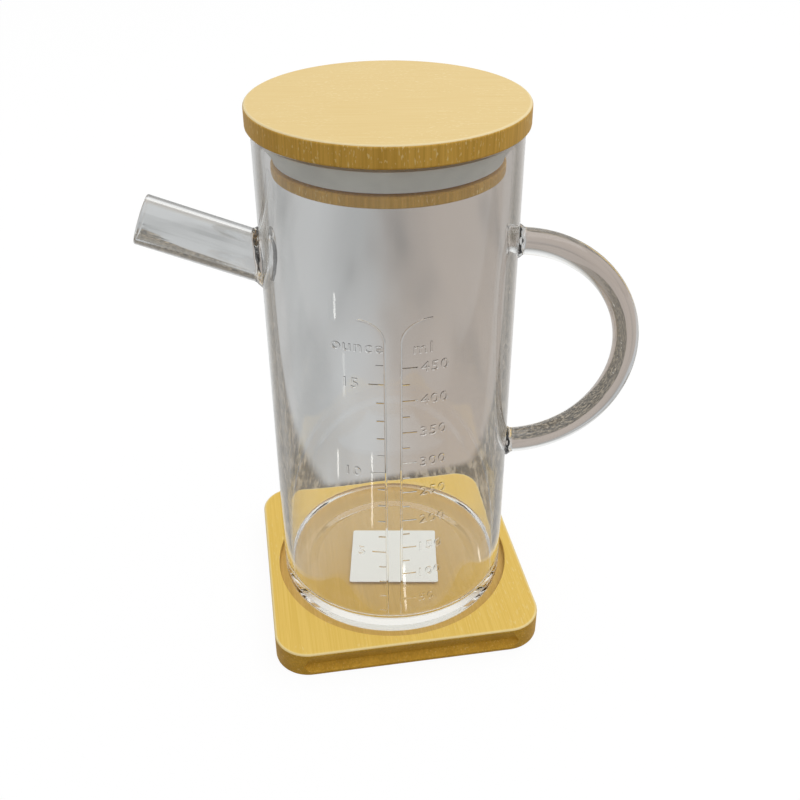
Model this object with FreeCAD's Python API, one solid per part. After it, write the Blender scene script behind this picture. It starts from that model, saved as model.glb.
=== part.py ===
import FreeCAD, Part
import math
import os

# Oil dispenser: a clear glass jug with a straight spout and a loop handle, a bamboo lid with a
# silicone seal, a paper label under the glass floor, and the bamboo tray that the jug stands in.
# Millimetres. Z is up, the origin lies on the jug's axis at the tray's underside, the spout
# points to -X, the handle to +X and the tray's grooved sides face -Y and +Y.

# tray
tray_height = 9.7
tray_margin = 4.1          # from the recess wall to the middle of a side
tray_corner_radius = 12.0
tray_edge_round = 0.7
tray_turn = 8.7            # degrees, seen from above, anticlockwise
recess_depth = 2.4
recess_clearance = 2.4     # between the jug's foot and the recess wall
recess_edge_round = 0.4
groove_depth = 2.0
groove_shoulder = 1.35     # height left above and below the groove
groove_nose = 0.6          # half the width of its rounded bottom
groove_cutter_radius = 4.0

# glass jug
jug_radius = 40.0
wall = 2.4
inner_height = 162.4       # from the inner floor to the rim
floor_thickness = 4.8
punt_height = 1.0          # the floor's underside is raised inside the foot ring
foot_ring_width = 5.0
punt_slope = 4.0
foot_round = 3.4
floor_corner = 3.0
rim_round = 0.9

# spout
spout_radius = 7.9
spout_wall = 1.5
spout_length = 38.2        # from the jug's wall to the mouth, along its axis
spout_rise = 20.0          # degrees above level
spout_drop = 43.0          # of its axis at the wall, below the rim
spout_fillet = 2.6
mouth_round = 0.5

# handle
handle_rod_radius = 4.25
handle_loop_radius = 37.8
handle_drop = 75.9         # of the loop's centre, below the rim
handle_fillet = 2.2

# lid
lid_overhang = 1.5
lid_thickness = 6.5
lid_top_round = 0.9
lid_under_round = 0.7
neck_inset = 5.6           # from the jug's bore in to the lid's neck
plug_clearance = 2.8       # between the lower disc and the jug's bore
plug_thickness = 3.4
plug_round = 0.7

# silicone seal
seal_height = 7.4
seal_gap_above = 1.6       # under the lid
seal_gap_below = 0.7       # over the lower disc
seal_hub_clearance = 0.1
seal_hub_thickness = 1.6
seal_skirt_height = 1.2    # the straight part, from the lower edge
seal_skirt_inset = 3.4     # from the jug's bore
seal_lip_clearance = 0.15  # to the jug's bore
seal_lip_drop = 1.0        # of the lip's edge, below the seal's top
seal_lip_thickness = 0.8
seal_round = 0.5

# paper label
label_side_margin = 11.6   # from the edge of the punt's flat in to the label's sides
label_end_margin = 13.35
label_thickness = 0.2
label_corner = 0.8
label_turn = -1.0          # degrees
label_shift = (0.7, -1.5)

bore_radius = jug_radius - wall
recess_radius = jug_radius + recess_clearance
tray_width = 2 * (recess_radius + tray_margin)
foot_ring_radius = jug_radius - foot_round - foot_ring_width
punt_radius = foot_ring_radius - punt_slope
neck_radius = bore_radius - neck_inset
plug_radius = bore_radius - plug_clearance

seat_z = tray_height - recess_depth
punt_z = seat_z + punt_height
floor_z = punt_z + floor_thickness
rim_z = floor_z + inner_height
lid_top_z = rim_z + lid_thickness
seal_top_z = rim_z - seal_gap_above
seal_z = seal_top_z - seal_height
plug_top_z = seal_z - seal_gap_below
plug_z = plug_top_z - plug_thickness
spout_z = rim_z - spout_drop
handle_z = rim_z - handle_drop

up = FreeCAD.Vector(0, 0, 1)
origin = FreeCAD.Vector(0, 0, 0)


class Outline:
    """A half section in the XZ plane, drawn point by point and turned about Z."""

    def __init__(self, radius, z):
        self.first = FreeCAD.Vector(radius, 0, z)
        self.last = self.first
        self.edges = []

    def line(self, radius, z):
        end = FreeCAD.Vector(radius, 0, z)
        self.edges.append(Part.makeLine(self.last, end))
        self.last = end

    def arc(self, centre_radius, centre_z, radius, z):
        """A quarter round or less, about a centre, to an end point."""
        centre = FreeCAD.Vector(centre_radius, 0, centre_z)
        end = FreeCAD.Vector(radius, 0, z)
        middle = (self.last + end) * 0.5 - centre
        middle.normalize()
        through = centre + middle * (end - centre).Length
        self.edges.append(Part.Arc(self.last, through, end).toShape())
        self.last = end

    def face(self):
        if (self.last - self.first).Length > 1e-6:
            self.line(self.first.x, self.first.z)
        return Part.Face(Part.Wire(self.edges))

    def turned(self):
        return self.face().revolve(origin, up, 360)


def edges_where(shape, test):
    return [edge for edge in shape.Edges if test(edge)]


def edges_near(shape, point, reach):
    return edges_where(shape, lambda edge: edge.BoundBox.Center.distanceToPoint(point) < reach)


def rounded_plate(width, depth, height, corner):
    plate = Part.makeBox(width, depth, height, FreeCAD.Vector(-width / 2, -depth / 2, 0))
    uprights = edges_where(plate, lambda edge: abs(edge.BoundBox.ZLength - height) < 1e-6)
    return plate.makeFillet(corner, uprights)


def jug_outside():
    """The jug's outer form, with no cavity."""
    foot_r = jug_radius - foot_round
    rim_r = jug_radius - rim_round
    outline = Outline(0, punt_z)
    outline.line(punt_radius, punt_z)
    outline.line(foot_ring_radius, seat_z)
    outline.line(foot_r, seat_z)
    outline.arc(foot_r, seat_z + foot_round, jug_radius, seat_z + foot_round)
    outline.line(jug_radius, rim_z - rim_round)
    outline.arc(rim_r, rim_z - rim_round, rim_r, rim_z)
    outline.line(0, rim_z)
    return outline.turned()


def jug_cavity():
    corner_r = bore_radius - floor_corner
    rim_r = bore_radius + rim_round
    outline = Outline(0, floor_z)
    outline.line(corner_r, floor_z)
    outline.arc(corner_r, floor_z + floor_corner, bore_radius, floor_z + floor_corner)
    outline.line(bore_radius, rim_z - rim_round)
    outline.arc(rim_r, rim_z - rim_round, rim_r, rim_z)
    outline.line(rim_r, rim_z + wall)
    outline.line(0, rim_z + wall)
    return outline.turned()


rise = math.radians(spout_rise)
spout_along = FreeCAD.Vector(-math.cos(rise), 0, math.sin(rise))
spout_joint = FreeCAD.Vector(-jug_radius, 0, spout_z)
spout_mouth = spout_joint + spout_along * spout_length


def spout_outside():
    inside = jug_radius / 2
    tube = Part.makeCylinder(spout_radius, inside + spout_length, spout_joint - spout_along * inside,
                             spout_along)
    return tube.makeFillet(mouth_round, edges_near(tube, spout_mouth, mouth_round))


def spout_bore():
    """The bore, from inside the jug to past the mouth, with the mouth's inner edge eased."""
    inside = wall + spout_radius
    bore_r = spout_radius - spout_wall
    bore = Part.makeCylinder(bore_r, inside + spout_length + wall, spout_joint - spout_along * inside,
                             spout_along)
    eased = Part.makeCone(bore_r, bore_r + mouth_round, mouth_round,
                          spout_mouth - spout_along * mouth_round, spout_along)
    return bore.fuse(eased)


def handle_rod():
    centre = FreeCAD.Vector(jug_radius, 0, handle_z)
    ring = Part.makeTorus(handle_loop_radius, handle_rod_radius, centre, FreeCAD.Vector(0, 1, 0))
    reach = handle_loop_radius + handle_rod_radius + wall
    corner = FreeCAD.Vector(jug_radius - wall, -reach, handle_z - reach)
    return ring.common(Part.makeBox(reach + wall, 2 * reach, 2 * reach, corner))


def glass_body():
    body = jug_outside().fuse([spout_outside(), handle_rod()])
    body = body.makeFillet(spout_fillet, edges_near(body, spout_joint, spout_radius))
    for side in (1, -1):
        joint = FreeCAD.Vector(jug_radius, 0, handle_z + side * handle_loop_radius)
        body = body.makeFillet(handle_fillet, edges_near(body, joint, handle_rod_radius))
    return body.cut(jug_cavity()).cut(spout_bore())


def lid():
    outer = jug_radius + lid_overhang
    top_r = outer - lid_top_round
    under_r = outer - lid_under_round
    plug_r = plug_radius - plug_round
    outline = Outline(0, lid_top_z)
    outline.line(top_r, lid_top_z)
    outline.arc(top_r, lid_top_z - lid_top_round, outer, lid_top_z - lid_top_round)
    outline.line(outer, rim_z + lid_under_round)
    outline.arc(under_r, rim_z + lid_under_round, under_r, rim_z)
    outline.line(neck_radius, rim_z)
    outline.line(neck_radius, plug_top_z)
    outline.line(plug_r, plug_top_z)
    outline.arc(plug_r, plug_top_z - plug_round, plug_radius, plug_top_z - plug_round)
    outline.line(plug_radius, plug_z + plug_round)
    outline.arc(plug_r, plug_z + plug_round, plug_r, plug_z)
    outline.line(0, plug_z)
    return outline.turned()


def seal_ring():
    hub_r = neck_radius + seal_hub_clearance
    skirt_r = bore_radius - seal_skirt_inset
    lip_r = bore_radius - seal_lip_clearance
    lip_z = seal_top_z - seal_lip_drop
    outline = Outline(hub_r, seal_z)
    outline.line(skirt_r - seal_round, seal_z)
    outline.arc(skirt_r - seal_round, seal_z + seal_round, skirt_r, seal_z + seal_round)
    outline.line(skirt_r, seal_z + seal_skirt_height)
    outline.line(lip_r, lip_z)
    outline.line(lip_r, lip_z + seal_lip_thickness)
    outline.line(hub_r + seal_hub_thickness, seal_top_z)
    outline.line(hub_r, seal_top_z)
    return outline.turned()


def groove_cutter():
    """What a disc with a pointed rim sweeps as it runs along the middle of the -Y side."""
    middle = tray_height / 2
    half = middle - groove_shoulder
    past = groove_depth / half          # how far the flank runs out for each millimetre of height
    clear = half + tray_edge_round
    tip = groove_cutter_radius
    root = tip - clear * past
    nose_r = tip - groove_nose * past
    outline = Outline(0, middle - clear)
    outline.line(root, middle - clear)
    outline.line(nose_r, middle - groove_nose)
    outline.arc(nose_r - groove_nose, middle, nose_r, middle + groove_nose)
    outline.line(root, middle + clear)
    outline.line(0, middle + clear)
    travel = tray_width - 2 * tray_corner_radius
    axis_y = groove_depth - tip - tray_width / 2
    section = outline.face()
    section.rotate(origin, up, 90)
    section.translate(FreeCAD.Vector(-travel / 2, axis_y, 0))
    cutter = section.extrude(FreeCAD.Vector(travel, 0, 0))
    for side in (1, -1):
        disc = outline.turned()
        disc.translate(FreeCAD.Vector(side * travel / 2, axis_y, 0))
        cutter = cutter.fuse(disc)
    return cutter


def base_tray():
    tray = rounded_plate(tray_width, tray_width, tray_height, tray_corner_radius)
    level = edges_where(tray, lambda edge: edge.BoundBox.ZLength < 1e-6)
    tray = tray.makeFillet(tray_edge_round, level)
    seat = FreeCAD.Vector(0, 0, seat_z)
    tray = tray.cut(Part.makeCylinder(recess_radius, recess_depth + tray_height, seat))
    brim = edges_near(tray, FreeCAD.Vector(0, 0, tray_height), recess_edge_round)
    tray = tray.makeFillet(recess_edge_round, brim)
    for turn in (0, 180):
        groove = groove_cutter()
        groove.rotate(origin, up, turn)
        tray = tray.cut(groove)
    tray.rotate(origin, up, tray_turn)
    return tray


def paper_label():
    width = 2 * (punt_radius - label_side_margin)
    depth = 2 * (punt_radius - label_end_margin)
    label = rounded_plate(width, depth, label_thickness, label_corner)
    label.rotate(origin, up, label_turn)
    label.translate(FreeCAD.Vector(label_shift[0], label_shift[1], punt_z - label_thickness))
    return label


nodes = {
    "glass_body": glass_body,
    "lid": lid,
    "seal_ring": seal_ring,
    "paper_label": paper_label,
    "base_tray": base_tray,
}

os.makedirs("parts", exist_ok=True)
for name, make in nodes.items():
    shape = make()
    solid = shape.Solids[0]
    whole = len(shape.Solids) == 1 and solid.isValid()
    print(name, "one valid solid" if whole else "BROKEN", "%.2f cm3" % (solid.Volume / 1000))
    solid.exportStep("parts/" + name + ".step")
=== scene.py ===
import math

import bmesh
import bpy
from mathutils import Matrix, Vector


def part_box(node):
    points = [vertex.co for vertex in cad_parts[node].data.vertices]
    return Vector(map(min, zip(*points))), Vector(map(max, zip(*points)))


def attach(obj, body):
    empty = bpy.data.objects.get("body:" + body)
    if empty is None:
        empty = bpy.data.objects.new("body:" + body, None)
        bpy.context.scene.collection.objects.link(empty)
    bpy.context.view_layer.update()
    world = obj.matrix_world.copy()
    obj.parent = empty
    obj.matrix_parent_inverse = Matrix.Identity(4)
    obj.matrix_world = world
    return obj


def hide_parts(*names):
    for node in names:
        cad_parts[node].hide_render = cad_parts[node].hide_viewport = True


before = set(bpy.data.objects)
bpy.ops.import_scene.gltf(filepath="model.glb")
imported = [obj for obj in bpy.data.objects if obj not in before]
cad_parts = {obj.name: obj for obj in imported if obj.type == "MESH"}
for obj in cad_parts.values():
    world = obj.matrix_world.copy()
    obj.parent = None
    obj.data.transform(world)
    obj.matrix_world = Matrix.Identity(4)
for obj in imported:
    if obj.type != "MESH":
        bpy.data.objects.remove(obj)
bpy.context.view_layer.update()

mm = 0.001                 # shapes are worked in millimetres and brought to metres when they are done
same = 1e-4                # corners nearer than this are merged
onLine = 1e-3              # a corner this near a ring or a level belongs to it
up = Vector((0, 0, 1))
side = Vector((0, 1, 0))


def corners(node):
    low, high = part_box(node)
    return low / mm, high / mm


glassLow, glassHigh = corners("glass_body")
lidLow, lidHigh = corners("lid")
sealLow, sealHigh = corners("seal_ring")
labelLow, labelHigh = corners("paper_label")
trayHigh = corners("base_tray")[1]
seatZ, rimZ = glassLow.z, glassHigh.z


# shader building

class Socket:
    def __init__(self, finish, link):
        self.finish = finish
        self.link = link

    def maths(self, operation, first, second=0.0):
        return self.finish.node("Math", {"operation": operation}, {0: first, 1: second})

    def __add__(self, other):
        return self.maths("ADD", self, other)

    def __radd__(self, other):
        return self.maths("ADD", other, self)

    def __sub__(self, other):
        return self.maths("SUBTRACT", self, other)

    def __rsub__(self, other):
        return self.maths("SUBTRACT", other, self)

    def __mul__(self, other):
        return self.maths("MULTIPLY", self, other)

    def __rmul__(self, other):
        return self.maths("MULTIPLY", other, self)

    def __or__(self, other):
        return self.maths("MAXIMUM", self, other)


class Finish:
    def __init__(self, owner):
        owner.use_nodes = True
        self.owner = owner
        self.tree = owner.node_tree
        self.tree.nodes.clear()

    def node(self, kind, settings=None, sockets=None, output=0):
        made = self.tree.nodes.new("ShaderNode" + kind)
        for name, value in (settings or {}).items():
            if name == "stops":
                stops = made.color_ramp.elements
                for place, (position, colour) in enumerate(value):
                    stop = stops[place] if place < 2 else stops.new(position)
                    stop.position, stop.color = position, colour
            else:
                setattr(made, name, value)
        for name, value in (sockets or {}).items():
            if isinstance(value, Socket):
                self.tree.links.new(value.link, made.inputs[name])
            else:
                made.inputs[name].default_value = value
        return Socket(self, made.outputs[output]) if made.outputs else made

    def blend(self, factor, first, second, mode="MIX"):      # of two colours
        return self.node("Mix", {"data_type": "RGBA", "blend_type": mode},
                         {0: factor, 6: first, 7: second}, 2)

    def grain(self, place, size, detail=3.0, rough=0.55):    # noise drawn out along each axis, sizes in mm
        spread = [1 / (length * mm) for length in size]
        drawn = self.node("Mapping", {}, {"Vector": place, "Scale": spread})
        return self.node("TexNoise", {}, {
            "Vector": drawn, "Scale": 1.0, "Detail": detail, "Roughness": rough})

    def ramp(self, value, low, high):                        # 0 at low and 1 at high
        return self.node("MapRange", {"interpolation_type": "SMOOTHSTEP"},
                         {"Value": value, "From Min": low, "From Max": high})

    def path(self, name):
        made = self.tree.nodes.new("ShaderNodeLightPath")
        return Socket(self, made.outputs[name])

    def surface(self, shader):
        kind = "OutputWorld" if isinstance(self.owner, bpy.types.World) else "OutputMaterial"
        self.node(kind, {}, {"Surface": shader})
        return self.owner


def rgb(red, green, blue):
    return (red, green, blue, 1.0)


def newFinish(name):
    return Finish(bpy.data.materials.new(name))


# mesh building

def sectionTurned(points, steps):
    work = bmesh.new()
    dots = [work.verts.new((radius, 0, z)) for radius, z in points]
    lines = [work.edges.new(pair) for pair in zip(dots, dots[1:])]
    bmesh.ops.spin(work, geom=dots + lines, axis=up, angle=math.tau, steps=steps, use_merge=True)
    bmesh.ops.remove_doubles(work, verts=work.verts, dist=same)
    bmesh.ops.recalc_face_normals(work, faces=work.faces)
    return work


def roundEdges(work, lines, size, segments):
    bmesh.ops.bevel(work, geom=lines, offset=size, segments=segments, profile=0.5,
                    affect="EDGES", material=-1)


def climb(line):
    return abs(line.verts[0].co.z - line.verts[1].co.z)


def roundRing(work, radius, z, size, segments=4):
    def onRing(dot):
        return abs(dot.co.z - z) < onLine and abs(math.hypot(*dot.co.xy) - radius) < onLine
    roundEdges(work, [line for line in work.edges if all(onRing(dot) for dot in line.verts)], size, segments)


def makePiece(work, name, sharp=35):
    bmesh.ops.scale(work, vec=(mm, mm, mm), verts=work.verts)
    mesh = bpy.data.meshes.new(name)
    work.to_mesh(mesh)
    work.free()
    mesh.shade_smooth()
    mesh.set_sharp_from_angle(angle=math.radians(sharp))
    piece = bpy.data.objects.new(name, mesh)
    bpy.context.scene.collection.objects.link(piece)
    return piece


def combine(piece, tool, operation):                         # tool is used up
    change = piece.modifiers.new("combine", "BOOLEAN")
    change.object, change.operation, change.solver = tool, operation, "MANIFOLD"
    settle(piece)
    bpy.data.objects.remove(tool)


def settle(piece):                                           # its modifiers' result becomes its mesh
    graph = bpy.context.evaluated_depsgraph_get()
    graph.update()
    mesh = bpy.data.meshes.new_from_object(piece.evaluated_get(graph))
    piece.modifiers.clear()
    piece.data = mesh
    mesh.name = piece.name


def trueNormals(piece, sharp=35):                            # flats stay flat beside their rounded edges
    piece.data.shade_smooth()
    piece.data.set_sharp_from_angle(angle=math.radians(sharp))
    change = piece.modifiers.new("normals", "WEIGHTED_NORMAL")
    change.keep_sharp = True
    settle(piece)


def dress(piece, node, slot, *finishes):
    slots = piece.data.materials
    while len(slots) < len(finishes):
        slots.append(None)
    for place, finish in enumerate(finishes):
        slots[place] = finish
    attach(piece, "root")
    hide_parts(node)
    triangles = sum(len(face.vertices) - 2 for face in piece.data.polygons)
    print(piece.name, "is made,", triangles, "triangles")


# camera

view = {
    "place": (0.0, -0.28965, 0.26646), "turn": -0.6301, "tilt": 57.0472, "roll": -0.1911,
    "lens": 45.39, "film": 36.0, "near": 0.01, "far": 50.0,
}

lens = bpy.data.cameras.new("camera")
lens.lens = view["lens"]
lens.sensor_width = view["film"]
lens.clip_start, lens.clip_end = view["near"], view["far"]
camera = bpy.data.objects.new("camera", lens)
camera.matrix_world = (Matrix.Translation(view["place"])
                       @ Matrix.Rotation(math.radians(view["turn"]), 4, "Z")
                       @ Matrix.Rotation(math.radians(view["tilt"]), 4, "X")
                       @ Matrix.Rotation(math.radians(view["roll"]), 4, "Z"))
bpy.context.scene.collection.objects.link(camera)
bpy.context.scene.camera = camera
print("camera is set")


# glass jug

jug = {
    "radius": 40.0, "wall": 2.4, "floor": 4.8,
    "punt": 1.0, "ring": 5.0, "slope": 4.0,
    "footRound": 3.4, "cornerRound": 3.0, "rimRound": 0.9, "slopeRound": 0.25,
    "turns": 288, "fineRow": 0.9, "coarseRow": 9.0, "reliefAngle": 32,
    "handleBand": 9.0, "spoutBand": (14.0, 19.0),   # fine rows reach this far below and above a joint
    "plainFoot": 6.0, "plainRim": 3.0, "plainFloor": 5.0,   # left to the rounded edges
    "nearWall": 0.3, "nearHole": 1.6,       # what counts as on the wall, and at a hole in widths of it
}
spout = {
    "radius": 7.9, "wall": 1.5, "length": 38.2, "rise": 20.0, "drop": 43.0,
    "collar": (1.5, 2.6), "hole": (0.9, 0.9), "holeSteps": 5, "mouth": 0.5, "lump": 0.4,
}
handle = {
    "radius": 4.25, "loop": 37.8, "drop": 75.9, "collar": (1.3, 2.3), "lump": 0.35,
    "steps": 96, "lastStep": 1.5,           # degrees of the loop that are bridged
}


def wallHeights(low, high, joints):
    heights, z = [], low
    while z < high - jug["fineRow"] / 2:
        heights.append(z)
        inside = [end for start, end in joints if start <= z < end]
        ahead = [start for start, end in joints if start > z]
        step = jug["fineRow"] if inside else jug["coarseRow"]
        z = min([z + step] + ahead)
    return heights + [high]


def jugWall():
    outer, inner = jug["radius"], jug["radius"] - jug["wall"]
    foot = outer - jug["footRound"] - jug["ring"]
    puntZ = seatZ + jug["punt"]
    floorZ = puntZ + jug["floor"]
    spoutZ, handleZ = rimZ - spout["drop"], rimZ - handle["drop"]
    lowerEnd, band = handleZ - handle["loop"], jug["handleBand"]
    below, above = jug["spoutBand"]
    joints = [(lowerEnd - band, lowerEnd + band), (spoutZ - below, spoutZ + above)]
    section = [(0, puntZ), (foot - jug["slope"], puntZ), (foot, seatZ), (outer, seatZ)]
    section += [(outer, z) for z in wallHeights(seatZ + jug["plainFoot"], rimZ - jug["plainRim"], joints)]
    section += [(outer, rimZ), (inner, rimZ)]
    heights = wallHeights(floorZ + jug["plainFloor"], rimZ - jug["plainRim"], joints[1:])
    section += [(inner, z) for z in reversed(heights)]
    section += [(inner, floorZ), (0, floorZ)]
    work = sectionTurned(section, jug["turns"])
    roundRing(work, foot, seatZ, jug["slopeRound"], 2)
    roundRing(work, foot - jug["slope"], puntZ, jug["slopeRound"], 2)
    roundRing(work, outer, seatZ, jug["footRound"], 10)
    roundRing(work, outer, rimZ, jug["rimRound"], 4)
    roundRing(work, inner, rimZ, jug["rimRound"], 4)
    roundRing(work, inner, floorZ, jug["cornerRound"], 9)
    return work


class Tube:                                 # a round tube or rod that grows out of the wall along an axis
    def __init__(self, work, centre, along, wallRadius):
        self.work, self.centre, self.along, self.wallRadius = work, centre, along, wallRadius
        self.over = along.cross(side)

    def turnOf(self, point):
        away = point - self.centre
        return math.atan2(away.dot(side), away.dot(self.over))

    def onCircle(self, radius, turn):
        return self.centre + radius * (math.cos(turn) * self.over + math.sin(turn) * side)

    def onWall(self, radius, turn):         # the circle's point, slid along the axis to the jug's wall
        point, way = self.onCircle(radius, turn), self.along
        flat = way.x ** 2 + way.y ** 2
        half = point.x * way.x + point.y * way.y
        rest = point.x ** 2 + point.y ** 2 - self.wallRadius ** 2
        return point + way * ((-half + math.sqrt(half * half - flat * rest)) / flat)

    def openWall(self, reach):
        def inside(face):
            middle = face.calc_center_median()
            away = middle - self.centre
            if away.dot(self.along) < -self.wallRadius / 2:
                return False
            return self.atWall(middle) and (away - self.along * away.dot(self.along)).length < reach
        cut = [face for face in self.work.faces if inside(face)]
        bmesh.ops.delete(self.work, geom=cut, context="FACES")
        self.ring = [line for line in self.work.edges if line.is_boundary and self.isNear(line, reach)]
        for dot in {dot for line in self.ring for dot in line.verts}:
            dot.co = self.onWall(reach, self.turnOf(dot.co))

    def atWall(self, point):
        return abs(math.hypot(point.x, point.y) - self.wallRadius) < jug["nearWall"]

    def isNear(self, line, reach):
        end = line.verts[0].co
        away = end - self.centre
        aside = (away - self.along * away.dot(self.along)).length
        return aside < jug["nearHole"] * reach and self.atWall(end)

    def grow(self, place):                  # one more ring of faces, each corner put where place says
        made = bmesh.ops.extrude_edge_only(self.work, edges=self.ring)["geom"]
        for dot in [part for part in made if isinstance(part, bmesh.types.BMVert)]:
            dot.co = place(self.turnOf(dot.co))
        self.ring = [part for part in made if isinstance(part, bmesh.types.BMEdge) and part.is_boundary]

    def collar(self, radius, spread, length, steps=9, lump=0.0, place=None):
        self.openWall(radius + spread)
        for step in range(1, steps + 1):
            bend = math.pi / 2 * step / steps
            wide = radius + spread * (1 - math.sin(bend))
            lift = length * (1 - math.cos(bend))
            swell = lump * math.sin(math.pi * step / steps) ** 2

            def corner(turn):               # the fused joint is a little lumpy
                full = wide + swell * (1 + 0.5 * math.sin(5 * turn + 1) + 0.4 * math.sin(9 * turn))
                if place:
                    return place(full, lift, turn, step / steps)
                return self.onWall(full, turn) + self.along * lift
            self.grow(corner)

    def mouth(self, radius, length, easing, steps=4):
        for step in range(steps + 1):
            bend = math.pi / 2 * step / steps
            wide = radius + easing * (math.cos(bend) - 1)
            far = length + abs(easing) * (math.sin(bend) - 1)
            self.grow(lambda turn: self.onCircle(wide, turn) + self.along * far)


def addSpout(work):
    rise = math.radians(spout["rise"])
    along = Vector((-math.cos(rise), 0, math.sin(rise)))
    root = Vector((-jug["radius"], 0, rimZ - spout["drop"]))
    bore = spout["radius"] - spout["wall"]
    outside = Tube(work, root, along, jug["radius"])
    outside.collar(spout["radius"], *spout["collar"], lump=spout["lump"])
    outside.mouth(spout["radius"], spout["length"], spout["mouth"])
    inside = Tube(work, root, along, jug["radius"] - jug["wall"])
    inside.collar(bore, *spout["hole"], steps=spout["holeSteps"])
    inside.mouth(bore, spout["length"], -spout["mouth"])
    bmesh.ops.bridge_loops(work, edges=outside.ring + inside.ring)


def addHandle(work):
    middle = Vector((jug["radius"], 0, rimZ - handle["drop"]))
    rings = []
    for way in (1, -1):
        top = middle + up * way * handle["loop"]
        arm = Tube(work, top, Vector((1, 0, 0)), jug["radius"])

        def place(wide, lift, turn, done):   # the collar bends with the loop
            start = arm.onWall(wide, turn).x - jug["radius"]
            angle = (start * (1 - done) + lift) / handle["loop"]
            offset = arm.onCircle(wide, turn) - top
            out = Vector((math.sin(angle), 0, way * math.cos(angle)))
            return middle + out * (handle["loop"] + way * offset.z) + side * offset.y
        arm.collar(handle["radius"], *handle["collar"], lump=handle["lump"], place=place)
        rings.append(arm.ring)
    start = 2 * handle["collar"][1] / handle["loop"]
    sweep = math.pi - start - math.radians(handle["lastStep"])
    dots = list(dict.fromkeys(dot for line in rings[0] for dot in line.verts))
    made = bmesh.ops.spin(work, geom=dots + rings[0], cent=middle, axis=side, angle=sweep,
                          steps=handle["steps"])
    last = [part for part in made["geom_last"] if isinstance(part, bmesh.types.BMEdge)]
    bmesh.ops.bridge_loops(work, edges=last + rings[1])


scale = {
    "lines": (-1.65, 3.1), "foot": 16.9, "head": 123.6, "lineWidth": 0.34,
    "leftBend": (8.0, 7.3), "rightBend": (9.2, 7.5), "bendSteps": 8,    # out and up at the lines' heads
    "tickWidth": 0.2, "tickGap": 0.08, "longTick": 4.4, "shortTick": 2.2, "relief": 0.28,
    "base": 13.09, "perMl": 0.2272, "perOunce": 6.455,
    "mlStep": 25, "mlMarks": (2, 18), "ounceMarks": (1, 16), "ounceNamed": 5,
    "digits": 3.3, "mlLeft": 9.0, "ounceRight": -8.2, "digitWidth": 2.9,
    "ml": (3.6, 6.7, 120.0), "ounce": (2.4, -17.6, 120.6),              # height, left end and foot
    "spacing": 1.1, "widen": 1.16,
}


def rod(points, width, relief):
    curve = bpy.data.curves.new("bead", "CURVE")
    curve.dimensions = "3D"
    curve.bevel_depth, curve.bevel_resolution, curve.use_fill_caps = width, 2, True
    line = curve.splines.new("POLY")
    line.points.add(len(points) - 1)
    for point, (x, y) in zip(line.points, points):
        point.co = (x, y, 0, 1)
    return flatShape(curve, relief / width)


def word(text, height, left, base):
    curve = bpy.data.curves.new("words", "FONT")
    curve.body, curve.space_character = text, scale["spacing"]
    curve.extrude, curve.resolution_u = scale["relief"], 3
    return flatShape(curve, 1.0, height, left, base)


def flatShape(curve, depth, height=None, left=0.0, base=0.0):
    maker = bpy.data.objects.new("maker", curve)
    bpy.context.scene.collection.objects.link(maker)
    bpy.context.view_layer.update()
    mesh = bpy.data.meshes.new_from_object(maker.evaluated_get(bpy.context.evaluated_depsgraph_get()))
    bpy.data.objects.remove(maker)
    shape = bmesh.new()
    shape.from_mesh(mesh)
    bpy.data.meshes.remove(mesh)
    bmesh.ops.remove_doubles(shape, verts=shape.verts, dist=same)
    if height:
        low = Vector([min(dot.co[axis] for dot in shape.verts) for axis in range(3)])
        high = max(dot.co.y for dot in shape.verts)
        factor = height / (high - low.y)
        bmesh.ops.translate(shape, vec=(-low.x, -low.y, 0), verts=shape.verts)
        bmesh.ops.scale(shape, vec=(scale["widen"] * factor, factor, 1), verts=shape.verts)
        bmesh.ops.translate(shape, vec=(left, base, 0), verts=shape.verts)
    bmesh.ops.scale(shape, vec=(1, 1, depth), verts=shape.verts)
    for dot in shape.verts:                 # bent round the jug's front
        turn = dot.co.x / jug["radius"] - math.pi / 2
        radius = jug["radius"] + dot.co.z
        dot.co = Vector((radius * math.cos(turn), radius * math.sin(turn), dot.co.y))
    result = bpy.data.meshes.new("bead")
    shape.to_mesh(result)
    shape.free()
    return result


def headBend(x, out, rise):                  # the quarter curve at the head of a line
    points = []
    for step in range(1, scale["bendSteps"] + 1):
        bend = math.pi / 2 * step / scale["bendSteps"]
        points.append((x + out * (1 - math.cos(bend)), scale["head"] + rise * math.sin(bend)))
    return points


def tick(start, end, z):
    return rod([(start, z), (end, z)], scale["tickWidth"], scale["relief"])


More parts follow.
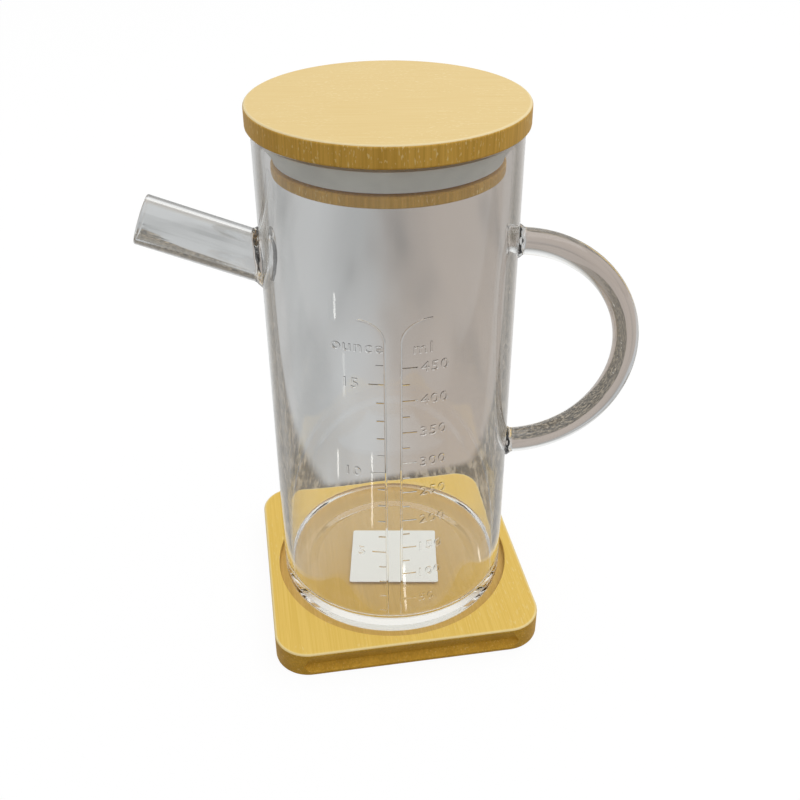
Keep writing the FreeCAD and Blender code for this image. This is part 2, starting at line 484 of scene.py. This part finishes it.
def measuringScale():
    left, right = scale["lines"]
    leftOut, leftRise = scale["leftBend"]
    rightOut, rightRise = scale["rightBend"]
    shapes = []
    for x, out, rise in ((left, -leftOut, leftRise), (right, rightOut, rightRise)):
        points = [(x, scale["foot"]), (x, scale["head"])] + headBend(x, out, rise)
        shapes.append(rod(points, scale["lineWidth"], scale["relief"]))
    edge = scale["lineWidth"] + scale["tickGap"]
    half = scale["digits"] / 2
    first, last = scale["mlMarks"]
    for count in range(first, last + 1):
        amount = scale["mlStep"] * count
        z = scale["base"] + scale["perMl"] * amount
        named = count % 2 == 0
        length = scale["longTick"] if named else scale["shortTick"]
        shapes.append(tick(right + edge, right + edge + length, z))
        if named:
            shapes.append(word(str(amount), scale["digits"], scale["mlLeft"], z - half))
    first, last = scale["ounceMarks"]
    for count in range(first, last + 1):
        z = scale["base"] + scale["perOunce"] * count
        named = count % scale["ounceNamed"] == 0
        length = scale["longTick"] if named else scale["shortTick"]
        shapes.append(tick(left - edge - length, left - edge, z))
        if named:
            text = str(count)
            start = scale["ounceRight"] - scale["digitWidth"] * len(text)
            shapes.append(word(text, scale["digits"], start, z - half))
    shapes += [word(unit, *scale[unit]) for unit in ("ml", "ounce")]
    work = bmesh.new()
    for shape in shapes:
        work.from_mesh(shape)
        bpy.data.meshes.remove(shape)
    return work


glass = {
    "tint": rgb(0.985, 0.99, 0.985), "shadow": rgb(0.985, 0.988, 0.985), "bend": 1.474,
    "drawn": (3.0, 3.0, 240.0), "ripple": (24.0, 24.0, 40.0), "drawnShare": 0.5,
    "uneven": 0.05, "depth": 0.2,
}


def clearGlass():
    finish = newFinish("clearGlass")
    place = finish.node("TexCoord", output=3)
    drawn = finish.grain(place, glass["drawn"], 2.0)
    ripple = finish.grain(place, glass["ripple"], 1.0)
    normal = finish.node("Bump", {}, {
        "Strength": glass["uneven"], "Distance": glass["depth"] * mm,
        "Height": drawn * glass["drawnShare"] + ripple})
    clear = finish.node("BsdfPrincipled", {}, {
        "Base Color": glass["tint"], "Roughness": 0.0, "IOR": glass["bend"],
        "Transmission Weight": 1.0, "Normal": normal})
    passing = finish.node("BsdfTransparent", {}, {"Color": glass["shadow"]})
    lets = finish.path("Is Shadow Ray") | finish.path("Is Diffuse Ray")
    return finish.surface(finish.node("MixShader", {}, {0: lets, 1: clear, 2: passing}))


jugWork = jugWall()
addSpout(jugWork)
addHandle(jugWork)
bmesh.ops.recalc_face_normals(jugWork, faces=jugWork.faces)
print("open edges left in the jug:", sum(not line.is_manifold for line in jugWork.edges))
jugPiece = makePiece(jugWork, "jug")
scalePiece = makePiece(measuringScale(), "scale")
combine(jugPiece, scalePiece, "UNION")
trueNormals(jugPiece, jug["reliefAngle"])
dress(jugPiece, "glass_body", "clear_glass", clearGlass())


# bamboo

bamboo = {
    # the lid face's colours are its bamboo tone paled by a painted sheen of the lacquer
    "lidFaceAndSheen": {"light": rgb(0.775, 0.595, 0.275), "dark": rgb(0.74, 0.545, 0.225),
                "pale": rgb(0.90, 0.76, 0.46), "grain": (20.0, 0.3, 20.0), "fleck": (1.2, 0.5, 1.2),
                "flecks": 0.35, "band": 0.08},
    "lidSide": {"light": rgb(0.82, 0.475, 0.085), "dark": rgb(0.63, 0.345, 0.048),
                "pale": rgb(0.95, 0.72, 0.30), "grain": (0.8, 0.8, 30.0), "fleck": (0.5, 0.5, 1.5),
                "flecks": 0.7, "band": 0.3},
    "trayFace": {"light": rgb(0.85, 0.585, 0.14), "dark": rgb(0.79, 0.52, 0.10),
                 "pale": rgb(0.93, 0.78, 0.42), "grain": (0.35, 34.0, 34.0), "fleck": (0.5, 3.0, 0.5),
                 "flecks": 0.30, "band": 0.2},
    "traySide": {"light": rgb(0.74, 0.41, 0.042), "dark": rgb(0.58, 0.305, 0.023),
                 "pale": rgb(0.90, 0.64, 0.20), "grain": (0.6, 30.0, 0.6), "fleck": (0.6, 1.0, 0.6),
                 "flecks": 0.45, "band": 0.3},
    # the recess is darker than the tray face: painted shade of the jug standing in it
    "trayRecessShaded": {"light": rgb(0.66, 0.42, 0.115), "dark": rgb(0.57, 0.35, 0.082),
                   "pale": rgb(0.82, 0.62, 0.30), "grain": (0.35, 34.0, 34.0), "fleck": (0.5, 2.0, 0.5),
                   "flecks": 0.2, "band": 0.3},
    "contrast": (0.36, 0.66), "wideGrain": 9,               # the bands' width, in widths of the fine grain
    "fleckRange": (0.62, 0.70), "groupRange": (0.42, 0.56), "groupSize": (16.0, 16.0, 16.0),
    "highlightBand": (0.45, 1.1), "highlightShare": 0.7,                       # painted highlight along the top edges: how far in from an edge, and how pale
    "reliefDepth": 0.06, "relief": 0.25, "fleckRelief": 0.6,
    "roughness": 0.46, "grainRoughness": 0.12, "gloss": 0.25,
}


def edgeWear(finish, place, half, corner):   # 1 along the edge of a square with round corners, or of a disc: the band of a painted highlight
    parts = finish.node("SeparateXYZ", {}, {"Vector": place}).link.node
    straight = (half - corner) * mm
    past = []
    for name in "XY":
        flat = Socket(finish, parts.outputs[name])
        past.append(flat.maths("ABSOLUTE", flat) - straight | 0.0)
    reach = past[0] * past[0] + past[1] * past[1]
    inward = corner * mm - reach.maths("SQRT", reach)
    low, high = bamboo["highlightBand"]
    return 1 - finish.ramp(inward, low * mm, high * mm)


def bambooFinish(name, turn=0.0, half=None, corner=None):
    tone = bamboo[name]
    finish = newFinish(name)
    place = finish.node("Mapping", {"vector_type": "TEXTURE"},
                        {"Vector": finish.node("TexCoord", output=3), "Rotation": (0, 0, math.radians(turn))})
    fine = finish.grain(place, tone["grain"], 4.0, 0.6)
    wide = finish.grain(place, [size * bamboo["wideGrain"] for size in tone["grain"]], 2.0)
    mix = finish.ramp(fine * (1 - tone["band"]) + wide * tone["band"], *bamboo["contrast"])
    colour = finish.blend(mix, tone["dark"], tone["light"])
    flecksAndHighlight = finish.ramp(finish.grain(place, tone["fleck"], 1.0, 0.4), *bamboo["fleckRange"]) * tone["flecks"]
    flecksAndHighlight = flecksAndHighlight * finish.ramp(finish.grain(place, bamboo["groupSize"], 1.0), *bamboo["groupRange"])
    if half:
        # the flecks are the bamboo's own; the pale band along the edge is a painted highlight of the rounded
        # edge
        flecksAndHighlight = flecksAndHighlight | edgeWear(finish, place, half, corner) * bamboo["highlightShare"]
    colour = finish.blend(flecksAndHighlight, colour, tone["pale"])
    bump = finish.node("Bump", {}, {
        "Strength": bamboo["relief"], "Distance": bamboo["reliefDepth"] * mm,
        "Height": fine - bamboo["fleckRelief"] * flecksAndHighlight})
    wood = finish.node("BsdfPrincipled", {}, {
        "Base Color": colour, "Roughness": bamboo["roughness"] + bamboo["grainRoughness"] * fine,
        "Specular IOR Level": bamboo["gloss"], "Normal": bump})
    return finish.surface(wood)


# lid

lid = {
    "overhang": 1.5, "topRound": 0.9, "underRound": 0.7, "flatRing": 6.0,
    "seat": 0.04,                         # pressed this far on to the rim, with no gap between
    "neck": 32.0, "plug": 34.8, "plugTop": 165.8, "plugRound": 0.7, "turns": 192,
}


def makeLid():
    outer = jug["radius"] + lid["overhang"]
    under = rimZ - lid["seat"]
    section = [(0, lidHigh.z), (outer - lid["flatRing"], lidHigh.z), (outer, lidHigh.z), (outer, under),
               (lid["neck"], under), (lid["neck"], lid["plugTop"]), (lid["plug"], lid["plugTop"]),
               (lid["plug"], lidLow.z), (0, lidLow.z)]
    work = sectionTurned(section, lid["turns"])
    roundRing(work, outer, lidHigh.z, lid["topRound"], 5)
    roundRing(work, outer, under, lid["underRound"], 4)
    roundRing(work, lid["plug"], lid["plugTop"], lid["plugRound"], 4)
    roundRing(work, lid["plug"], lidLow.z, lid["plugRound"], 4)
    for face in work.faces:
        face.material_index = 0 if face.normal.z > 0.5 and face.calc_center_median().z > rimZ else 1
    return makePiece(work, "lidDisc")


lidPiece = makeLid()
trueNormals(lidPiece)
lidReach = jug["radius"] + lid["overhang"]
dress(lidPiece, "lid", "bamboo", bambooFinish("lidFaceAndSheen", 0.0, lidReach, lidReach), bambooFinish("lidSide"))


# silicone seal

seal = {
    "hub": 32.1, "hubTop": 33.7, "skirt": 34.2, "skirtHeight": 1.2, "skirtRound": 0.5,
    "lip": 37.45, "lipDrop": 1.0, "lipThick": 0.8, "lipRound": 0.25,
    "dark": rgb(0.77, 0.76, 0.70), "light": rgb(0.87, 0.86, 0.79), "roughness": 0.38, "gloss": 0.4,
}


def makeSeal():
    lipZ = sealHigh.z - seal["lipDrop"]
    section = [(seal["hub"], sealLow.z), (seal["skirt"], sealLow.z),
               (seal["skirt"], sealLow.z + seal["skirtHeight"]),
               (seal["lip"], lipZ), (seal["lip"], lipZ + seal["lipThick"]), (seal["hubTop"], sealHigh.z),
               (seal["hub"], sealHigh.z), (seal["hub"], sealLow.z)]
    work = sectionTurned(section, lid["turns"])
    roundRing(work, seal["skirt"], sealLow.z, seal["skirtRound"], 4)
    roundRing(work, seal["lip"], lipZ, seal["lipRound"], 3)
    return makePiece(work, "seal", 50)


def siliconeFinish():
    finish = newFinish("silicone")
    place = finish.node("TexCoord", output=3)
    cloud = finish.grain(place, (14.0, 14.0, 14.0))
    colour = finish.blend(finish.ramp(cloud, 0.35, 0.7), seal["dark"], seal["light"])
    return finish.surface(finish.node("BsdfPrincipled", {}, {
        "Base Color": colour, "Roughness": seal["roughness"], "Specular IOR Level": seal["gloss"]}))


sealPiece = makeSeal()
dress(sealPiece, "seal_ring", "silicone", siliconeFinish())


# paper label

label = {
    "width": 32.0, "depth": 28.5, "corner": 0.8, "turn": -1.0, "sunk": 0.1,
    "dark": rgb(0.88, 0.87, 0.82), "light": rgb(0.93, 0.92, 0.87), "roughness": 0.8, "fibreDepth": 0.03,
}


def makeLabel():
    middle = (labelLow + labelHigh) / 2
    thickness = labelHigh.z + label["sunk"] - labelLow.z       # its face reaches just into the glass
    work = bmesh.new()
    bmesh.ops.create_cube(work, size=1.0)
    bmesh.ops.scale(work, vec=(label["width"], label["depth"], thickness), verts=work.verts)
    roundEdges(work, [line for line in work.edges if climb(line) > thickness / 2], label["corner"], 4)
    bmesh.ops.rotate(work, cent=(0, 0, 0), matrix=Matrix.Rotation(math.radians(label["turn"]), 3, "Z"),
                     verts=work.verts)
    bmesh.ops.translate(work, vec=(middle.x, middle.y, labelLow.z + thickness / 2), verts=work.verts)
    return makePiece(work, "label")


def paperFinish():
    finish = newFinish("paper")
    place = finish.node("TexCoord", output=3)
    fibre = finish.grain(place, (0.7, 0.4, 0.5), 4.0)
    colour = finish.blend(finish.ramp(fibre, 0.3, 0.7), label["dark"], label["light"])
    bump = finish.node("Bump", {}, {"Strength": 0.2, "Distance": label["fibreDepth"] * mm, "Height": fibre})
    return finish.surface(finish.node("BsdfPrincipled", {}, {
        "Base Color": colour, "Roughness": label["roughness"], "Normal": bump}))


labelPiece = makeLabel()
dress(labelPiece, "paper_label", "paper", paperFinish())


# bamboo tray

tray = {
    "width": 93.0, "corner": 12.0, "edgeRound": 0.7, "turn": 8.7,
    "recess": 42.4, "recessDepth": 2.4, "brimRound": 0.4, "recessTurns": 192,
    "clear": 0.05,                        # between recess and foot, so that the foot keeps its reflections
    "recessEdge": 0.2, "faceEdge": 0.5,   # how far their finishes reach past and below the brim
    "grooveDepth": 2.0, "shoulder": 1.35, "notch": 3.9, "nose": 0.35, "cutter": 4.0,
}


def plainPiece(work, name):
    bmesh.ops.recalc_face_normals(work, faces=work.faces)
    return makePiece(work, name)


def grooveCutter(facing):                   # a pointed disc run along the middle of one side
    notch, tip = tray["notch"], tray["cutter"]
    under, over = notch - tray["shoulder"], trayHigh.z - tray["shoulder"] - notch
    section = [(0, notch - under - tray["edgeRound"])]
    for way, half in ((-1, under), (1, over)):
        past = tray["grooveDepth"] / half
        clear = half + tray["edgeRound"]
        ends = [(tip - clear * past, notch + way * clear),
                (tip - tray["nose"] * past, notch + way * tray["nose"])]
        section += ends if way < 0 else ends[::-1]
    section.append((0, notch + over + tray["edgeRound"]))
    travel = tray["width"] / 2 - tray["corner"]
    work = bmesh.new()
    for end in (-1, 1):
        disc = sectionTurned(section, 64)
        bmesh.ops.translate(disc, verts=disc.verts,
                            vec=(end * travel, facing * (tray["width"] / 2 + tip - tray["grooveDepth"]), 0))
        spare = bpy.data.meshes.new("disc")
        disc.to_mesh(spare)
        disc.free()
        work.from_mesh(spare)
        bpy.data.meshes.remove(spare)
    bmesh.ops.delete(work, geom=work.edges[:] + work.faces[:], context="EDGES_FACES")
    hull = bmesh.ops.convex_hull(work, input=work.verts)
    spare = set(hull["geom_interior"] + hull["geom_unused"])
    bmesh.ops.delete(work, geom=[part for part in spare if isinstance(part, bmesh.types.BMVert)],
                     context="VERTS")
    return plainPiece(work, "groove")


def recessCutter(top):
    wide, brim = tray["recess"], tray["brimRound"]
    floorZ = top - tray["recessDepth"] - tray["clear"]
    section = [(0, floorZ), (wide, floorZ), (wide, top - brim), (wide + 0.3 * brim, top - 0.3 * brim),
               (wide + brim, top), (wide + brim, top + 3), (0, top + 3)]
    return plainPiece(sectionTurned(section, tray["recessTurns"]), "recess")


def trayFinishOf(face, top):                # 0 the face, 1 the sides, 2 the recess, darkened with painted shade
    middle, edge = face.calc_center_median() / mm, tray["recessEdge"]
    within = math.hypot(middle.x, middle.y) < tray["recess"] + edge and middle.z < top - edge
    if within and face.normal.z > -0.5:
        return 2
    return 0 if face.normal.z > 0.5 and middle.z > top - tray["faceEdge"] else 1


def makeTray():
    top = trayHigh.z
    work = bmesh.new()
    bmesh.ops.create_cube(work, size=1.0)
    bmesh.ops.scale(work, vec=(tray["width"], tray["width"], top), verts=work.verts)
    bmesh.ops.translate(work, vec=(0, 0, top / 2), verts=work.verts)
    roundEdges(work, [line for line in work.edges if climb(line) > top / 2], tray["corner"], 24)
    roundEdges(work, [line for line in work.edges if climb(line) < same], tray["edgeRound"], 4)
    piece = plainPiece(work, "tray")
    combine(piece, recessCutter(top), "DIFFERENCE")
    for facing in (-1, 1):
        combine(piece, grooveCutter(facing), "DIFFERENCE")
    work = bmesh.new()
    work.from_mesh(piece.data)
    bmesh.ops.rotate(work, cent=(0, 0, 0), matrix=Matrix.Rotation(math.radians(tray["turn"]), 3, "Z"),
                     verts=work.verts)
    for face in work.faces:
        face.material_index = trayFinishOf(face, top)
    work.to_mesh(piece.data)
    work.free()
    trueNormals(piece)
    return piece


trayPiece = makeTray()
dress(trayPiece, "base_tray", "bamboo",
      bambooFinish("trayFace", tray["turn"], tray["width"] / 2, tray["corner"]),
      bambooFinish("traySide", tray["turn"]), bambooFinish("trayRecessShaded", tray["turn"]))


# floor, lamp and surroundings

studio = {
    "floorSize": 4000.0, "floorShade": 0.62, "bounce": 0.26,
    "glow": 0.88, "glowPower": 1.06, "roomShare": 0.9, "sky": 0.45,
    "wall": [(0.0, rgb(0.30, 0.29, 0.27)), (0.12, rgb(0.60, 0.60, 0.60)),
             (0.30, rgb(0.85, 0.86, 0.87)), (0.42, rgb(0.95, 0.95, 0.94))],
    "shelf": rgb(0.56, 0.38, 0.17),
    "shelfLow": (0.64, 0.70), "shelfHigh": (0.85, 0.92), "shelfBack": (0.2, 0.35),
    "bounces": 24, "glossyBounces": 12,
}
cards = {                                   # distances on the floor in metres from the jug's axis
    "near": (0.0595, 0.22, 0.006), "steep": (0.0, 1.55, 0.015),     # an edge's start, slope and softness
    "inner": (0.032, 0.42, 0.008), "side": (0.110, 0.8, 0.012),
    "sideFrom": (0.085, 0.10), "farFrom": (0.26, 0.50), "farShare": 0.5, "frontFrom": (-0.03, 0.0),
    "cool": rgb(0.50, 0.51, 0.52), "warm": rgb(0.395, 0.33, 0.285), "warmFrom": (0.0, 0.05),
    "fold": (50.0, 220.0, 50.0), "foldShift": 0.06, "foldRange": (0.45, 0.75), "foldShare": 0.35,
    "shade": rgb(0.10, 0.10, 0.10), "shadeFrom": (0.11, 0.32), "shadeShare": 0.12,
    "middle": 0.010, "middleFade": (0.015, 0.055), "middleShare": 0.30,
}
stone = {"dark": rgb(0.04, 0.032, 0.02), "light": rgb(0.36, 0.30, 0.22), "speck": (3.0, 12.0, 3.0),
         "range": (0.44, 0.64)}
gleam = {                                   # angle and half its width, near and far end in mm, power
    "places": ((-15.8, 1.0, 104, 159, 9.0), (-45.1, 1.1, 131, 156, 9.0), (9.0, 1.0, 57, 86, 9.0),
               (-46.0, 1.2, 276, 312, 9.0), (-39.0, 1.6, 198, 245, 3.0), (74.7, 1.5, 60, 74, 4.0)),
    "softEnd": 5.0, "blue": 0.95, "around": rgb(0.80, 0.80, 0.79),
}
overhead = {"size": 2.2, "power": 23.0, "place": (0.3, 0.15, 1.6), "target": (0, 0, 0.1)}


def between(finish, value, low, high, soft):
    return finish.ramp(value, low, low + soft) * (1 - finish.ramp(value, high - soft, high))


def onFloor(finish, place):
    parts = finish.node("SeparateXYZ", {}, {"Vector": place}).link.node
    return Socket(finish, parts.outputs["X"]), Socket(finish, parts.outputs["Y"])


def past(finish, name, along, across):      # 1 beyond a slanted edge of the cards
    start, slope, soft = cards[name]
    return finish.ramp(along - slope * across, start, start + soft)


def surroundings(finish, place):            # what refracted rays see of the room: pale cards over stone
    x, y = onFloor(finish, place)
    acrossX, acrossY = x.maths("ABSOLUTE", x), y.maths("ABSOLUTE", y)
    mask = past(finish, "near", acrossY, x) * past(finish, "steep", acrossY, acrossX) * (
        1 - past(finish, "inner", acrossX, acrossY))
    mask = mask | past(finish, "side", acrossX, acrossY) * finish.ramp(acrossX, *cards["sideFrom"])
    mask = mask | finish.ramp(acrossY, *cards["farFrom"]) * cards["farShare"]
    mask = mask | (1 - finish.ramp(y, *cards["frontFrom"]))
    speck = finish.grain(place, stone["speck"], 3.0, 0.7)
    rough = finish.blend(finish.ramp(speck, *stone["range"]), stone["dark"], stone["light"])
    fold = finish.grain(place, cards["fold"], 2.0)
    warm = finish.ramp(x + cards["foldShift"] * fold, *cards["warmFrom"])
    card = finish.blend(warm, cards["cool"], cards["warm"])
    off = x + cards["middle"]
    middle = 1 - finish.ramp(off.maths("ABSOLUTE", off), *cards["middleFade"])
    shade = finish.ramp(y, *cards["shadeFrom"]) * (cards["shadeShare"] + cards["middleShare"] * middle)
    shade = shade + cards["foldShare"] * finish.ramp(fold, *cards["foldRange"])
    return finish.blend(mask, rough, finish.blend(shade, card, cards["shade"]))


def gleams(finish, place):                  # narrow lights on the floor, shown only as streaks on the glass
    x, y = onFloor(finish, place)
    reach = x * x + y * y
    reach, turn = reach.maths("SQRT", reach), x.maths("ARCTAN2", x, 0 - y)
    colour = gleam["around"]
    for angle, wide, low, high, power in gleam["places"]:
        off = turn - math.radians(angle)
        mask = 1 - finish.ramp(off.maths("ABSOLUTE", off), math.radians(wide) / 3, math.radians(wide))
        mask = mask * between(finish, reach, low * mm, high * mm, gleam["softEnd"] * mm)
        colour = finish.blend(mask, colour, rgb(power, power, gleam["blue"] * power))
    return colour


def matt(finish, shade):
    return finish.node("BsdfDiffuse", {}, {"Color": rgb(shade, shade, shade)})


def makeFloor():
    work = bmesh.new()
    bmesh.ops.create_grid(work, x_segments=1, y_segments=1, size=studio["floorSize"])
    piece = makePiece(work, "floor")
    finish = newFinish("floorFinish")
    direct, spread = matt(finish, studio["floorShade"]), matt(finish, studio["bounce"])
    plain = finish.node("MixShader", {}, {0: finish.path("Is Diffuse Ray"), 1: direct, 2: spread})
    inside = finish.path("Is Transmission Ray")
    through = inside | finish.path("Is Glossy Ray")
    place = finish.node("TexCoord", output=3)
    room = finish.blend(inside, gleams(finish, place), surroundings(finish, place))
    shown = finish.blend(through, rgb(1, 1, 1), room)
    glow = finish.node("Emission", {}, {"Color": shown, "Strength": studio["glowPower"]})
    seen = finish.path("Is Camera Ray") * studio["glow"] | through * studio["roomShare"]
    piece.data.materials.append(finish.surface(finish.node("MixShader", {}, {0: seen, 1: plain, 2: glow})))


def makeWorld():
    world = bpy.data.worlds.new("studio")
    bpy.context.scene.world = world
    finish = Finish(world)
    white = finish.node("Background", {}, {"Color": rgb(1, 1, 1), "Strength": 1.0})
    soft = finish.node("Background", {}, {"Color": rgb(1, 1, 1), "Strength": studio["sky"]})
    parts = finish.node("SeparateXYZ", {}, {"Vector": finish.node("TexCoord", output=0)}).link.node
    back, rise = Socket(finish, parts.outputs["Y"]), Socket(finish, parts.outputs["Z"])
    wall = finish.node("ValToRGB", {"stops": studio["wall"]}, {0: rise})
    shelf = finish.ramp(rise, *studio["shelfLow"]) * (1 - finish.ramp(rise, *studio["shelfHigh"]))
    shelf = shelf * finish.ramp(back, *studio["shelfBack"])
    seen = finish.blend(shelf, wall, studio["shelf"])
    room = finish.node("Background", {}, {"Color": seen, "Strength": 1.0})
    through = finish.path("Is Transmission Ray") | finish.path("Is Glossy Ray")
    shown = finish.node("MixShader", {}, {0: through, 1: soft, 2: room})
    finish.surface(finish.node("MixShader", {}, {0: finish.path("Is Camera Ray"), 1: shown, 2: white}))


def softbox(name, size, power, place, target):
    light = bpy.data.lights.new(name, "AREA")
    light.shape, light.size = "SQUARE", size
    light.energy = power
    lamp = bpy.data.objects.new(name, light)
    lamp.location = place
    lamp.visible_transmission = False       # or it would show as a bright patch in the glass
    lamp.rotation_euler = (Vector(target) - Vector(place)).to_track_quat("-Z", "Y").to_euler()
    bpy.context.scene.collection.objects.link(lamp)


makeFloor()
makeWorld()
softbox("overhead", **overhead)

scene = bpy.context.scene
scene.view_settings.view_transform = "Standard"
scene.cycles.max_bounces = studio["bounces"]
scene.cycles.transmission_bounces = studio["bounces"]
scene.cycles.glossy_bounces = studio["glossyBounces"]
scene.cycles.transparent_max_bounces = studio["bounces"]
print("studio is set")
